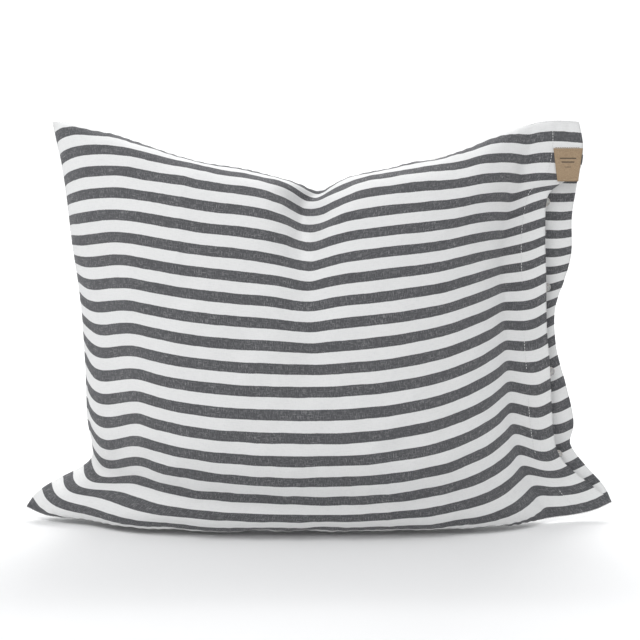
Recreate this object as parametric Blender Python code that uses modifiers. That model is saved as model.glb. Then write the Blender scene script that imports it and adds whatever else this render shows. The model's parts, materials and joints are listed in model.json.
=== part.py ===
"""Bed pillow in a striped linen case, standing on its long edge.

Frame: metres, +Z up, the front faces -Y and +X is to the right as seen from the front.
The origin is the bottom centre of the whole object's box, on the surface it stands on.

The case is two linen panels sewn together round three sides. Its right end is open
between two turned hems, with a row of buttons on the back hem. In the case lies the
cushion: two ticking panels, a piping cord in their seam, and the filling.
"""
import math

import bmesh
import bpy
from mathutils import Matrix, Vector

# ---------------------------------------------------------------- driving dimensions
HALF_WIDTH_FLOOR = 0.350      # half of the 700 mm case, at its two bottom corners
HALF_WIDTH_TOP = 0.318        # the top corners lean in a little
CORNER_HEIGHT = 0.472         # the 500 mm case, less what lies on the floor
TOP_SAG = 0.066               # how far the top edge sags between its corners
FRONT_BULGE = 0.106
BACK_BULGE = 0.080
FLOOR_CUT = 0.045             # how much of the round underside is pressed flat
PULL_LEFT = 0.082             # how far the filling draws each side edge in
PULL_FRONT_HEM = 0.066
PULL_BACK_HEM = 0.066
CUSHION_END = 0.296           # the cushion's reach to the left
CUSHION_HEM_END = 0.244       # and to the right, where the two hems begin
EAR_STAND = 0.5               # how steeply the cloth stands up in the empty corners
GAPE = 0.009                  # the front hem stands this far off the back one

CHOP_X = -0.008               # the dent pressed into the top edge
CHOP_DEPTH = 0.014
CHOP_HALF_WIDTH = 0.030
CHOP_GROOVE = 0.38            # share of the front's bulge that the dent takes away
CHOP_GROOVE_HALF_WIDTH = 0.060

LINEN = 0.0010                # a panel with its seam allowance
LINEN_OFFSET = 0.0020         # its outer face from the seam plane, at the seam
THREAD_RADIUS = 0.00045
THREAD_PROUD = 0.00085        # a thread's centre above the cloth it lies on
THREAD_LOWEST = 0.012         # a hem's stitching starts this far above the floor

TICKING = 0.0008
TICKING_OFFSET = 0.0028
TICKING_SPAN = 0.93          # how much of its room in the case the cushion fills
TICKING_SCALE = 0.92
TICKING_FLOOR = 0.0030
PIPING_RADIUS = 0.0014
PIPING_LIFT = 0.0018          # the piping's centre above the ticking's underside
FILL_OFFSET = 0.0010
FILL_SPAN = 0.86
FILL_SCALE = 0.66
FILL_FLOOR = 0.0080
CLOSING = 0.13                # the share of its size over which a shell closes

BUTTON_COUNT = 4
BUTTON_LOWEST = 0.078
BUTTON_PITCH = 0.100
BUTTON_PAST_HEM = 0.0015      # button centre beyond the front hem's edge
BUTTON_RADIUS = 0.0052
BUTTON_BASE = 0.0018          # thickness at the sunk middle
BUTTON_RIM = 0.0026           # thickness at the rim
BUTTON_DISH_RADIUS = 0.0036
HOLE_RADIUS = 0.00075
HOLE_OFFSET = 0.0012          # each hole from the button's centre, both ways
SHANK_GAP = 0.0005            # between the cloth and the foot of the shank
SHANK_HEIGHT = 0.0020
SHANK_FOOT_RADIUS = 0.0012
SHANK_TOP_RADIUS = 0.0024
LOOP_RADIUS = 0.00038
CLEARANCE = 0.0003

LABEL_LEFT = 0.270
LABEL_TOP = 0.440
LABEL_WIDTH = 0.034
LABEL_HEIGHT = 0.038
LABEL_TAPER = 0.005           # how much each side comes in towards the bottom
LABEL_THICKNESS = 0.0006
LABEL_GAP = 0.0016            # behind the label
LABEL_THREAD_DROP = 0.0009    # from the stitching down to the label's top edge

CUSHION_COLUMNS = 18          # columns over the cushion, shared by every nested shell
EAR_COLUMNS = 2               # columns from the left edge to the cushion
HEM_COLUMNS = 2               # columns over each hem, to the right of the cushion
ROWS = 14
ROW_CROWDING = 1.25           # over 1, rows crowd towards the floor

CASE_COLUMNS = EAR_COLUMNS + CUSHION_COLUMNS + HEM_COLUMNS
FLOOR_SHARE = FLOOR_CUT / (CORNER_HEIGHT - TOP_SAG + FLOOR_CUT)


# ---------------------------------------------------------------- the pillow's form
def ease(low, high, x):
    """Ease from 0 at low to 1 at high."""
    t = min(1.0, max(0.0, (x - low) / (high - low)))
    return t * t * (3.0 - 2.0 * t)


def side_line(height):
    """Half width of the case before the filling draws it in. height runs 0 to 1."""
    return HALF_WIDTH_FLOOR + (HALF_WIDTH_TOP - HALF_WIDTH_FLOOR) * height


def above_ear(height):
    """0 at the floor, where the empty corner flares out, and 1 well above it."""
    return 1.0 - math.exp(-(height / 0.10) ** 2)


def left_edge(height):
    return -side_line(height) + PULL_LEFT * above_ear(height) * (1.0 - height ** 2.2)


def back_hem_edge(height):
    return side_line(height) - PULL_BACK_HEM * above_ear(height) * (1.0 - height ** 2.2)


def front_hem_edge(height):
    below_corner = 1.0 - math.exp(-((1.0 - height) / 0.12) ** 2)
    return side_line(height) - PULL_FRONT_HEM * above_ear(height) * below_corner


def cushion_ends(height):
    return max(left_edge(height) + 0.008, -CUSHION_END), CUSHION_HEM_END


def top_edge(x):
    """Height of the top seam at x."""
    across = max(0.0, 1.0 - (x / HALF_WIDTH_TOP) ** 2)
    chop = math.exp(-((x - CHOP_X) / CHOP_HALF_WIDTH) ** 2)
    return CORNER_HEIGHT - TOP_SAG * across ** 1.25 - CHOP_DEPTH * chop


def height_share(along):
    """along is 0 at the floor seam, 1 at the top seam; the height leaves out the floor."""
    return max(0.0, (along - FLOOR_SHARE) / (1.0 - FLOOR_SHARE))


def bulge(x, along, front):
    """How far the cushion pushes a panel off the seam plane."""
    height = height_share(along)
    low, high = cushion_ends(height)
    across = abs(2.0 * x - low - high) / (high - low)
    if across >= 1.0:
        return 0.0
    arch = 2.28 * along ** 0.5 * (1.0 - along) ** 0.72 * (1.0 - across ** 2.6) ** 0.8
    if not front:
        return BACK_BULGE * arch
    groove = math.exp(-((x - CHOP_X) / CHOP_GROOVE_HALF_WIDTH) ** 2)
    return FRONT_BULGE * arch * (1.0 - CHOP_GROOVE * groove * ease(0.55, 0.95, height))


def raised(x, along, floor=0.0):
    """Height of a point, pressed flat where the round form would pass the floor."""
    return max(floor, (top_edge(x) + FLOOR_CUT) * along - FLOOR_CUT)


def ear_raised(share, x, along):
    """Height in the empty corners, where the cloth stands on its edge."""
    empty = ease(0.45, 0.60, abs(share - 0.5))
    return max(raised(x, along), EAR_STAND * empty * top_edge(x) * along)


def case_point(share, along, front):
    """A point on a linen panel's outer face.

    share is 0 at the cushion's left end and 1 at its right end, where the hem's stitching
    runs. It goes on to -1 at the case's left edge and 2 at the hem's free edge.
    """
    height = height_share(along)
    low, high = cushion_ends(height)
    right = front_hem_edge(height) if front else back_hem_edge(height)
    x = low + (high - low) * min(max(share, 0.0), 1.0)
    x += (left_edge(height) - low) * max(0.0, -share)
    x += (right - high) * max(0.0, share - 1.0)
    depth = LINEN_OFFSET + bulge(x, along, front)
    if front:
        lift = math.sin(math.pi * min(1.0, height)) ** 0.45 if 0.0 < height < 1.0 else 0.0
        depth += GAPE * lift * ease(right - 0.11, right - 0.02, x)
    return Vector((x, -depth if front else depth, ear_raised(share, x, along)))


def cushion_point(share, along, front, span, scale, offset, floor):
    """A point on a shell inside the case, cut short to span and flattened to scale."""
    reach = min(along, span)
    low, high = cushion_ends(height_share(reach))
    margin = 0.5 * (1.0 - span)
    x = low + (high - low) * min(max(share, margin), 1.0 - margin)
    closing = min(1.0, share / CLOSING, (1.0 - share) / CLOSING, (1.0 - along) / CLOSING)
    depth = offset + closing * max(0.0, scale * bulge(x, reach, front) - offset)
    return Vector((x, -depth if front else depth, raised(x, reach, floor)))


def ticking_point(share, along, front):
    return cushion_point(share, along, front, TICKING_SPAN, TICKING_SCALE,
                         TICKING_OFFSET, TICKING_FLOOR)


def fill_point(share, along, front):
    return cushion_point(share, along, front, FILL_SPAN, FILL_SCALE,
                         FILL_OFFSET, FILL_FLOOR)


# ---------------------------------------------------------------- helpers
def finish(name, colour, roughness):
    made = bpy.data.materials.new(name)
    made.use_nodes = True
    shader = made.node_tree.nodes["Principled BSDF"]
    shader.inputs["Base Color"].default_value = (*colour, 1.0)
    shader.inputs["Roughness"].default_value = roughness
    shader.inputs["Metallic"].default_value = 0.0
    return made


def make_collection(name):
    made = bpy.data.collections.new(name)
    bpy.context.scene.collection.children.link(made)
    return made


def place(name, data, group, parent=None, location=(0.0, 0.0, 0.0), look=None):
    made = bpy.data.objects.new(name, data)
    if look and not data.materials:
        data.materials.append(look)
    group.objects.link(made)
    made.parent = parent
    made.location = location
    return made


def as_mesh(bm, name):
    mesh = bpy.data.meshes.new(name)
    bm.to_mesh(mesh)
    bm.free()
    return mesh


def baked(made):
    """The object's evaluated mesh, welded; the object and its data are removed."""
    bpy.context.view_layer.update()
    evaluated = made.evaluated_get(bpy.context.evaluated_depsgraph_get())
    mesh = bpy.data.meshes.new_from_object(evaluated)
    mesh.transform(made.matrix_world)
    bm = bmesh.new()
    bm.from_mesh(mesh)
    bmesh.ops.remove_doubles(bm, verts=bm.verts, dist=1e-6)
    bm.to_mesh(mesh)
    bm.free()
    bpy.data.objects.remove(made, do_unlink=True)
    return mesh


def row_share(row):
    return row ** ROW_CROWDING


def case_share(column):
    """The share of a case column, so that its columns match the cushion's."""
    column = column * CASE_COLUMNS - EAR_COLUMNS
    if column < 0.0:
        return column / EAR_COLUMNS
    if column > CUSHION_COLUMNS:
        return 1.0 + (column - CUSHION_COLUMNS) / HEM_COLUMNS
    return column / CUSHION_COLUMNS


def make_sheet(name, columns, spot, front, thickness, group, parent, look):
    """An open grid on spot(column, row), thickened inwards by a Solidify modifier."""
    bm = bmesh.new()
    bmesh.ops.create_grid(bm, x_segments=columns, y_segments=ROWS, size=0.5)
    for vert in bm.verts:
        vert.co = spot(vert.co.x + 0.5, row_share(vert.co.y + 0.5))
    if not front:
        bmesh.ops.reverse_faces(bm, faces=bm.faces)
    mesh = as_mesh(bm, name)
    mesh.shade_smooth()
    made = place(name, mesh, group, parent, look=look)
    solidify = made.modifiers.new("thickness", "SOLIDIFY")
    solidify.thickness = thickness
    solidify.offset = -1.0
    return made


def make_cord(name, points, radius, group, parent, look, closed=False):
    """A thread or cord of round section through points."""
    curve = bpy.data.curves.new(name, "CURVE")
    curve.dimensions = "3D"
    curve.bevel_depth = radius
    curve.bevel_resolution = 1
    curve.use_fill_caps = not closed
    spline = curve.splines.new("POLY")
    spline.points.add(len(points) - 1)
    for knot, point in zip(spline.points, points):
        knot.co = (*point, 1.0)
    spline.use_cyclic_u = closed
    return place(name, curve, group, parent, look=look)


def drum(bm, foot_radius, top_radius, depth, centre, segments):
    """A capped cone or cylinder along Y, its foot on the +Y side, with middle at centre."""
    turn = Matrix.Rotation(math.radians(90.0), 4, "X")
    bmesh.ops.create_cone(bm, cap_ends=True, segments=segments, radius1=foot_radius,
                          radius2=top_radius, depth=depth,
                          matrix=Matrix.Translation(centre) @ turn)


# ---------------------------------------------------------------- the case
def outward(share, along, front):
    """Outward normal of a linen panel's outer face, over a span of about one facet."""
    step = 0.04
    du = case_point(share + step, along, front) - case_point(share - step, along, front)
    dv = case_point(share, along + step, front) - case_point(share, along - step, front)
    normal = du.cross(dv).normalized()
    return normal if front else -normal


def hem_stitching(front):
    """The row of stitches that holds a hem down, on the panel's outer face."""
    points = []
    for row in range(1, ROWS):
        along = row_share(row / ROWS)
        spot = case_point(1.0, along, front)
        if spot.z > THREAD_LOWEST:
            points.append(spot + outward(1.0, along, front) * THREAD_PROUD)
    return points


def seam_path():
    """From the top right corner over the top, down the left and along the floor."""
    columns = [case_share(i / CASE_COLUMNS) for i in range(CASE_COLUMNS + 1)]
    rows = [row_share(j / ROWS) for j in range(ROWS + 1)]
    rim = [(share, 1.0) for share in reversed(columns)]
    rim += [(-1.0, along) for along in reversed(rows[1:-1])]
    rim += [(share, 0.0) for share in columns]
    points = []
    for share, along in rim:
        spot = case_point(share, along, False)
        points.append(Vector((spot.x, 0.0, max(spot.z, THREAD_PROUD))))
    return points


def build_case(group, parent, linen, thread):
    for name, front in (("linen_front", True), ("linen_back", False)):
        make_sheet(name, CASE_COLUMNS,
                   lambda c, r, front=front: case_point(case_share(c), r, front),
                   front, LINEN, group, parent, linen)
    make_cord("case_seam_thread", seam_path(), THREAD_RADIUS, group, parent, thread)
    for name, front in (("front_hem_thread", True), ("back_hem_thread", False)):
        make_cord(name, hem_stitching(front), THREAD_RADIUS, group, parent, thread)


# ---------------------------------------------------------------- the cushion inside
def piping_path():
    rim = [(i / CUSHION_COLUMNS, 1.0) for i in range(CUSHION_COLUMNS, 0, -1)]
    rim += [(0.0, row_share(j / ROWS)) for j in range(ROWS, 0, -1)]
    rim += [(i / CUSHION_COLUMNS, 0.0) for i in range(CUSHION_COLUMNS)]
    rim += [(1.0, row_share(j / ROWS)) for j in range(ROWS)]
    points = []
    for share, along in rim:
        spot = ticking_point(share, along, False)
        lift = max(spot.z, TICKING_FLOOR + PIPING_LIFT)
        points.append(Vector((spot.x, 0.0, lift)))
    return points


def fill_mesh():
    """A box cut into a grid on its two large faces, then laid on the cushion's form."""
    bm = bmesh.new()
    bmesh.ops.create_cube(bm, size=1.0)
    for axis, cuts in ((0, CUSHION_COLUMNS - 1), (2, ROWS - 1)):
        edges = [e for e in bm.edges
                 if abs(e.verts[0].co[axis] - e.verts[1].co[axis]) > 0.5]
        bmesh.ops.subdivide_edges(bm, edges=edges, cuts=cuts, use_grid_fill=True)
    for vert in bm.verts:
        front = vert.co.y < 0.0
        vert.co = fill_point(vert.co.x + 0.5, row_share(vert.co.z + 0.5), front)
    mesh = as_mesh(bm, "filling")
    mesh.shade_smooth()
    return mesh


def build_cushion(group, parent, ticking, thread, filling):
    for name, front in (("ticking_front", True), ("ticking_back", False)):
        make_sheet(name, CUSHION_COLUMNS,
                   lambda c, r, front=front: ticking_point(c, r, front),
                   front, TICKING, group, parent, ticking)
    make_cord("ticking_piping", piping_path(), PIPING_RADIUS, group, parent, thread,
              closed=True)
    place("filling", fill_mesh(), group, parent, look=filling)


# ---------------------------------------------------------------- the buttons
def button_mesh(group, cutters):
    """A turned button with a sunk middle and four holes. Its back lies at y = 0."""
    outline = [(0.0, 0.0), (BUTTON_RADIUS - 0.0006, 0.0), (BUTTON_RADIUS, -0.0007),
               (BUTTON_RADIUS, -0.0019), (BUTTON_RADIUS - 0.0006, -BUTTON_RIM),
               (BUTTON_DISH_RADIUS, -BUTTON_BASE), (0.0, -BUTTON_BASE)]
    profile = bpy.data.meshes.new("button_profile")
    edges = [(i, i + 1) for i in range(len(outline) - 1)]
    profile.from_pydata([(x, y, 0.0) for x, y in outline], edges, [])
    turned = place("button_turned", profile, group)
    screw = turned.modifiers.new("turn", "SCREW")
    screw.axis = "Y"
    screw.steps = screw.render_steps = 24
    screw.use_merge_vertices = True
    screw.merge_threshold = 1e-5
    screw.use_normal_calculate = True
    bm = bmesh.new()
    for x in (-HOLE_OFFSET, HOLE_OFFSET):
        for z in (-HOLE_OFFSET, HOLE_OFFSET):
            drum(bm, HOLE_RADIUS, HOLE_RADIUS, 0.010, Vector((x, 0.0, z)), 8)
    drills = place("button_drills", as_mesh(bm, "button_drills"), cutters)
    drills.hide_render = True
    drills.display_type = "WIRE"
    holes = turned.modifiers.new("holes", "BOOLEAN")
    holes.operation = "DIFFERENCE"
    holes.object = drills
    mesh = baked(turned)
    bpy.data.objects.remove(drills, do_unlink=True)
    mesh.name = "button"
    mesh.set_sharp_from_angle(angle=math.radians(40.0))
    return mesh


def button_thread_mesh(group, cutters, thread):
    """The wound shank under a button and two loops through its holes."""
    bm = bmesh.new()
    middle = CLEARANCE + 0.5 * SHANK_HEIGHT
    drum(bm, SHANK_FOOT_RADIUS, SHANK_TOP_RADIUS, SHANK_HEIGHT, Vector((0.0, middle, 0.0)), 12)
    shank = place("shank", as_mesh(bm, "shank"), group)
    over = -BUTTON_BASE - CLEARANCE - LOOP_RADIUS
    loops = []
    for x in (-HOLE_OFFSET, HOLE_OFFSET):
        path = [Vector((x, middle, -HOLE_OFFSET)), Vector((x, over, -HOLE_OFFSET)),
                Vector((x, over, HOLE_OFFSET)), Vector((x, middle, HOLE_OFFSET))]
        tube = make_cord("loop", path, LOOP_RADIUS, cutters, None, thread)
        loops.append(place("loop_mesh", baked(tube), cutters))
    for loop in loops:
        union = shank.modifiers.new("union", "BOOLEAN")
        union.operation = "UNION"
        union.object = loop
    mesh = baked(shank)
    for loop in loops:
        bpy.data.objects.remove(loop, do_unlink=True)
    mesh.name = "button_thread"
    return mesh


def build_buttons(group, cutters, parent, shell, thread):
    """Each button and its thread hang from an empty on the button's tilt axis."""
    button = button_mesh(group, cutters)
    sewing = button_thread_mesh(group, cutters, thread)
    for made, look in ((button, shell), (sewing, thread)):
        made.materials.clear()
        made.materials.append(look)
    foot = LINEN_OFFSET - LINEN - SHANK_GAP
    back = -(SHANK_HEIGHT + CLEARANCE)
    for i in range(BUTTON_COUNT):
        z = BUTTON_LOWEST + BUTTON_PITCH * (BUTTON_COUNT - 1 - i)
        x = front_hem_edge(z / CORNER_HEIGHT) + BUTTON_PAST_HEM
        tilt = place(f"button_{i + 1}_tilt", None, group, parent, (x, foot, z))
        place(f"button_{i + 1}", button, group, tilt, (0.0, back, 0.0))
        place(f"button_{i + 1}_thread", sewing, group, tilt, (0.0, back, 0.0))


# ---------------------------------------------------------------- the label
def label_depth():
    """How far the front panel stands out behind the label, at most."""
    deepest = 0.0
    for i in range(41):
        for j in range(41):
            spot = case_point(0.9 + 1.1 * i / 40, 0.8 + 0.2 * j / 40, True)
            across = LABEL_LEFT - 0.01 < spot.x < LABEL_LEFT + LABEL_WIDTH + 0.01
            if across and LABEL_TOP - LABEL_HEIGHT - 0.02 < spot.z < LABEL_TOP + 0.01:
                deepest = max(deepest, -spot.y)
    return deepest


def build_label(group, parent, paper, thread):
    """A flat label below its line of stitches, which is its hinge."""
    y = -(label_depth() + LABEL_GAP + 0.5 * LABEL_THICKNESS)
    top = -LABEL_THREAD_DROP
    low = top - LABEL_HEIGHT
    half = 0.5 * LABEL_WIDTH
    corners = [(-half, top), (half, top), (half - LABEL_TAPER, low), (LABEL_TAPER - half, low)]
    outline = bpy.data.curves.new("label", "CURVE")
    outline.dimensions = "2D"
    outline.fill_mode = "BOTH"
    outline.extrude = 0.5 * LABEL_THICKNESS
    spline = outline.splines.new("POLY")
    spline.points.add(len(corners) - 1)
    for knot, (x, z) in zip(spline.points, corners):
        knot.co = (x, z, 0.0, 1.0)
    spline.use_cyclic_u = True
    hinge = place("label_hinge", None, group, parent, (LABEL_LEFT + half, y, LABEL_TOP))
    label = place("label", outline, group, hinge, look=paper)
    label.rotation_euler = (math.radians(90.0), 0.0, 0.0)
    line = [Vector((LABEL_LEFT + 0.002, y, LABEL_TOP)),
            Vector((LABEL_LEFT + LABEL_WIDTH - 0.002, y, LABEL_TOP))]
    make_cord("label_thread", line, THREAD_RADIUS, group, parent, thread)


# ---------------------------------------------------------------- the whole object
def centre_on_floor(group, root):
    """Move the root so that the origin is at the bottom centre of the object's box."""
    bpy.context.view_layer.update()
    graph = bpy.context.evaluated_depsgraph_get()
    spots = []
    for made in group.objects:
        if made.type == "EMPTY":
            continue
        evaluated = made.evaluated_get(graph)
        mesh = evaluated.to_mesh()
        spots += [made.matrix_world @ vert.co for vert in mesh.vertices]
        evaluated.to_mesh_clear()
    for axis in (0, 1):
        low = min(spot[axis] for spot in spots)
        high = max(spot[axis] for spot in spots)
        root.location[axis] = -0.5 * (low + high)


def main():
    for old in list(bpy.data.objects):
        bpy.data.objects.remove(old, do_unlink=True)
    pillow = make_collection("pillow")
    cutters = make_collection("cutters")
    linen = finish("linen", (0.62, 0.63, 0.64), 0.90)
    thread = finish("thread", (0.90, 0.90, 0.88), 0.70)
    ticking = finish("ticking", (0.86, 0.85, 0.81), 0.90)
    filling = finish("filling", (0.92, 0.91, 0.88), 1.00)
    shell = finish("button", (0.93, 0.92, 0.89), 0.25)
    paper = finish("label", (0.55, 0.43, 0.31), 0.80)
    root = place("pillow_origin", None, pillow)
    build_case(pillow, root, linen, thread)
    build_cushion(pillow, root, ticking, thread, filling)
    build_buttons(pillow, cutters, root, shell, thread)
    build_label(pillow, root, paper, thread)
    centre_on_floor(pillow, root)


main()
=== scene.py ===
# %% [markdown]
# # A bed pillow in a striped linen case
#
# We dress a plain model of a bed pillow: two linen panels sewn on three sides, a row of
# buttons in the open end, a kraft label, and a filled cushion inside. The plain model
# fixes every size and place. Here we make the cloth, the thread and the finishes.

import json
import math

import bmesh
import bpy
import numpy as np
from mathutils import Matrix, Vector
from mathutils.bvhtree import BVHTree


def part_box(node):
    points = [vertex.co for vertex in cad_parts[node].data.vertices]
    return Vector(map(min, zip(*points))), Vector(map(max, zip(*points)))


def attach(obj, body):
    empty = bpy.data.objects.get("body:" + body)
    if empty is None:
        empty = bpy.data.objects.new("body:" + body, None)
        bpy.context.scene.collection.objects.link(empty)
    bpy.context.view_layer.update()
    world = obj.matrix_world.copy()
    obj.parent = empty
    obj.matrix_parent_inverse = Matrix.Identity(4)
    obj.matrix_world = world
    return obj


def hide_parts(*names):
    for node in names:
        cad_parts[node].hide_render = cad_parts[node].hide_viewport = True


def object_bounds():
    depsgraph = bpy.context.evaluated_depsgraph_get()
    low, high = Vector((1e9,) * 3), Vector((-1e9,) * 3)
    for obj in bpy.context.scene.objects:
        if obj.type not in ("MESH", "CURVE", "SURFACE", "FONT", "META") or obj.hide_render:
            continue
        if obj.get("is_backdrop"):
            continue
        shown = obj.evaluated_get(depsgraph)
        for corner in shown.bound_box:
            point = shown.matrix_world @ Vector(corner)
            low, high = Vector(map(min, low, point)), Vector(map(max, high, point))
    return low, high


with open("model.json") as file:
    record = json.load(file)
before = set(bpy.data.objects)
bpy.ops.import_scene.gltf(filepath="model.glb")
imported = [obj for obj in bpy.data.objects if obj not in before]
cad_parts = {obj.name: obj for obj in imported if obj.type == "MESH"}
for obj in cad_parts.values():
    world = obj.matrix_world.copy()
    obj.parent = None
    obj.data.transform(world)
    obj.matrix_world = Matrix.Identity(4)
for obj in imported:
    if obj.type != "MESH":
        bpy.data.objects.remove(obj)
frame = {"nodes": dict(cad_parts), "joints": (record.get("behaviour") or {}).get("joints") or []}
cad_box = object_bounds()
print("box:", [round(float(value), 4) for corner in cad_box for value in corner])

# %% [markdown]
# ## Measures
# A case of 50 by 70 cm is the common size. The stripe repeats every 25 mm, and a little
# less than half of each repeat is dark. All lengths below are in metres. The seam lies in
# one upright plane, and the plain model's seam thread tells us where that plane is.

# %% Measures of the case
CASE_WIDTH, CASE_HEIGHT = 0.700, 0.500
STRIPE_REPEAT = 0.025
DARK_SHARE = 0.475
HEM_WIDTH = 0.0375
CLOTH = 0.0006

seam_low, seam_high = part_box("case_seam_thread")
seam_y = 0.5 * (seam_low[1] + seam_high[1])
print("seam plane at y =", round(seam_y, 4))

# %% [markdown]
# ## Camera, floor and light
# The camera looks at the front from a little above. The floor is a pale sheet that curves
# up behind the pillow, as in a product studio, so no horizon line shows. A soft
# key light stands high on the left, two more brighten the top and the wall, and a pale
# world gives the rest.

# %% Camera
CAMERA_DISTANCE = 1.05
CAMERA_RISE = math.radians(4.5)
LOOK_AT = Vector((0.0, 0.0, 0.240))
VIEW_WIDTH = 0.750


def aim(thing, target):
    """Turn a camera or a light so that it looks at the target."""
    thing.rotation_euler = (target - thing.location).to_track_quat("-Z", "Y").to_euler()


camera_data = bpy.data.cameras.new("camera")
camera = bpy.data.objects.new("camera", camera_data)
bpy.context.scene.collection.objects.link(camera)
camera.location = LOOK_AT + CAMERA_DISTANCE * Vector(
    (0.0, -math.cos(CAMERA_RISE), math.sin(CAMERA_RISE)))
aim(camera, LOOK_AT)
camera_data.lens = camera_data.sensor_width * CAMERA_DISTANCE / VIEW_WIDTH
bpy.context.scene.camera = camera
print("lens:", round(camera_data.lens, 1), "mm")


# %% Floor that curves up behind
def link(thing):
    bpy.context.scene.collection.objects.link(thing)
    return thing


def plain_finish(name, colour, roughness):
    made = bpy.data.materials.new(name)
    made.use_nodes = True
    shader = made.node_tree.nodes["Principled BSDF"]
    shader.inputs["Base Color"].default_value = (*colour, 1.0)
    shader.inputs["Roughness"].default_value = roughness
    return made


def studio_floor(half_width=9.0, front=-4.0, bend=2.4, radius=1.2, top=3.6, steps=12):
    profile = [(front, 0.0), (bend, 0.0)]
    for step in range(1, steps + 1):
        turn = 0.5 * math.pi * step / steps
        profile.append((bend + radius * math.sin(turn), radius - radius * math.cos(turn)))
    profile.append((bend + radius, top))
    verts = [(side * half_width, y, z) for y, z in profile for side in (-1, 1)]
    faces = [(2 * i, 2 * i + 1, 2 * i + 3, 2 * i + 2) for i in range(len(profile) - 1)]
    mesh = bpy.data.meshes.new("floor")
    mesh.from_pydata(verts, [], faces)
    mesh.shade_smooth()
    mesh.materials.append(plain_finish("floor_white", (0.93, 0.93, 0.93), 0.9))
    return link(bpy.data.objects.new("floor", mesh))


floor = studio_floor()
floor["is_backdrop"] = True


# %% Lights
def soft_light(name, place, size, power, target=(0.0, 0.0, 0.2)):
    data = bpy.data.lights.new(name, "AREA")
    data.shape = "SQUARE"
    data.size = size
    data.energy = power
    light = link(bpy.data.objects.new(name, data))
    light.location = place
    aim(light, Vector(target))
    return light


soft_light("key_light", (-0.8, -1.1, 2.0), 0.9, 17.0)
soft_light("back_light", (0.4, 1.4, 2.2), 1.6, 26.0)
soft_light("wall_light", (0.0, 1.2, 2.6), 1.6, 60.0, target=(0.0, 3.5, 0.9))
world = bpy.data.worlds.new("studio")
bpy.context.scene.world = world
world.use_nodes = True
world.node_tree.nodes["Background"].inputs["Color"].default_value = (0.975, 0.985, 1.0, 1.0)
world.node_tree.nodes["Background"].inputs["Strength"].default_value = 0.66
bpy.context.scene.view_settings.view_transform = "Standard"

# %% [markdown]
# ## The lines of the seams
# A filled case does not keep its flat outline. The filling draws the sides in, the empty
# corners flare out on the floor, and a chop of the hand dents the top. We write each edge
# as a few listed points and run a smooth curve through them. Each curve has close to the
# length of its flat edge, because cloth hardly stretches: that is a good check on the form.


# %% Smooth line through listed points
def smooth_line(points, shares, fine=24):
    """Points at the given shares of the length of a smooth curve, and that length."""
    knots = np.array(points, dtype=float)
    knots = np.vstack([2 * knots[0] - knots[1], knots, 2 * knots[-1] - knots[-2]])
    t = np.linspace(0.0, 1.0, fine, endpoint=False)[:, None]
    pieces = []
    for a, b, c, d in zip(knots, knots[1:], knots[2:], knots[3:]):
        pieces.append(0.5 * (2 * b + (c - a) * t + (2 * a - 5 * b + 4 * c - d) * t ** 2
                             + (3 * b - a - 3 * c + d) * t ** 3))
    line = np.vstack(pieces + [knots[-2:-1]])
    run = np.r_[0.0, np.cumsum(np.linalg.norm(np.diff(line, axis=0), axis=1))]
    places = np.asarray(shares) * run[-1]
    spots = np.column_stack([np.interp(places, run, line[:, k]) for k in range(3)])
    return spots, run[-1]


# %% Edges of the filled case
# Every point is (x, y, z); y is counted from the seam plane, and -y is towards the front.
LEFT_EDGE = [(-0.312, 0.000, 0.471), (-0.308, 0.000, 0.450), (-0.302, 0.000, 0.420),
             (-0.297, 0.000, 0.380), (-0.292, 0.000, 0.330), (-0.285, 0.000, 0.275),
             (-0.281, 0.000, 0.225), (-0.279, 0.000, 0.170), (-0.278, 0.000, 0.120),
             (-0.275, 0.008, 0.088), (-0.279, 0.018, 0.068), (-0.296, 0.014, 0.056),
             (-0.318, 0.004, 0.046), (-0.339, -0.004, 0.033), (-0.351, -0.010, 0.016)]
TOP_EDGE = [(-0.312, 0.000, 0.471), (-0.282, 0.000, 0.467), (-0.250, 0.000, 0.458),
            (-0.197, 0.000, 0.441), (-0.139, 0.000, 0.424), (-0.085, 0.001, 0.414),
            (-0.045, 0.003, 0.405), (-0.020, 0.007, 0.396), (-0.002, 0.009, 0.392),
            (0.016, 0.005, 0.399), (0.042, 0.002, 0.409), (0.088, 0.000, 0.419),
            (0.135, 0.000, 0.429), (0.165, 0.000, 0.438), (0.190, 0.000, 0.449),
            (0.215, 0.000, 0.459), (0.245, 0.000, 0.468), (0.270, 0.000, 0.472),
            (0.302, 0.000, 0.471)]
FLOOR_EDGE = [(-0.351, -0.010, 0.016), (-0.325, -0.015, 0.007), (-0.290, -0.020, 0.005),
              (-0.200, -0.050, 0.005), (0.000, -0.058, 0.005), (0.200, -0.048, 0.005),
              (0.290, -0.018, 0.006), (0.325, -0.010, 0.010), (0.349, -0.008, 0.021)]
FRONT_HEM = [(0.302, 0.000, 0.471), (0.304, -0.005, 0.450), (0.305, -0.009, 0.428),
             (0.300, -0.010, 0.411), (0.284, -0.010, 0.401), (0.268, -0.010, 0.390),
             (0.2625, -0.010, 0.370), (0.264, -0.011, 0.300), (0.2665, -0.011, 0.235),
             (0.271, -0.011, 0.185), (0.275, -0.010, 0.130), (0.280, -0.009, 0.090),
             (0.292, -0.007, 0.068), (0.316, -0.006, 0.048), (0.337, -0.007, 0.032),
             (0.349, -0.008, 0.021)]
BACK_HEM = [(0.302, 0.000, 0.471), (0.305, 0.001, 0.435), (0.302, 0.002, 0.400),
            (0.297, 0.002, 0.365), (0.297, 0.002, 0.322), (0.290, 0.002, 0.288),
            (0.281, 0.002, 0.262), (0.278, 0.002, 0.235), (0.283, 0.002, 0.200),
            (0.293, 0.002, 0.165), (0.302, 0.002, 0.130), (0.304, 0.002, 0.108),
            (0.299, 0.002, 0.094), (0.306, 0.000, 0.080), (0.324, -0.003, 0.058),
            (0.340, -0.006, 0.040), (0.349, -0.008, 0.021)]

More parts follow.
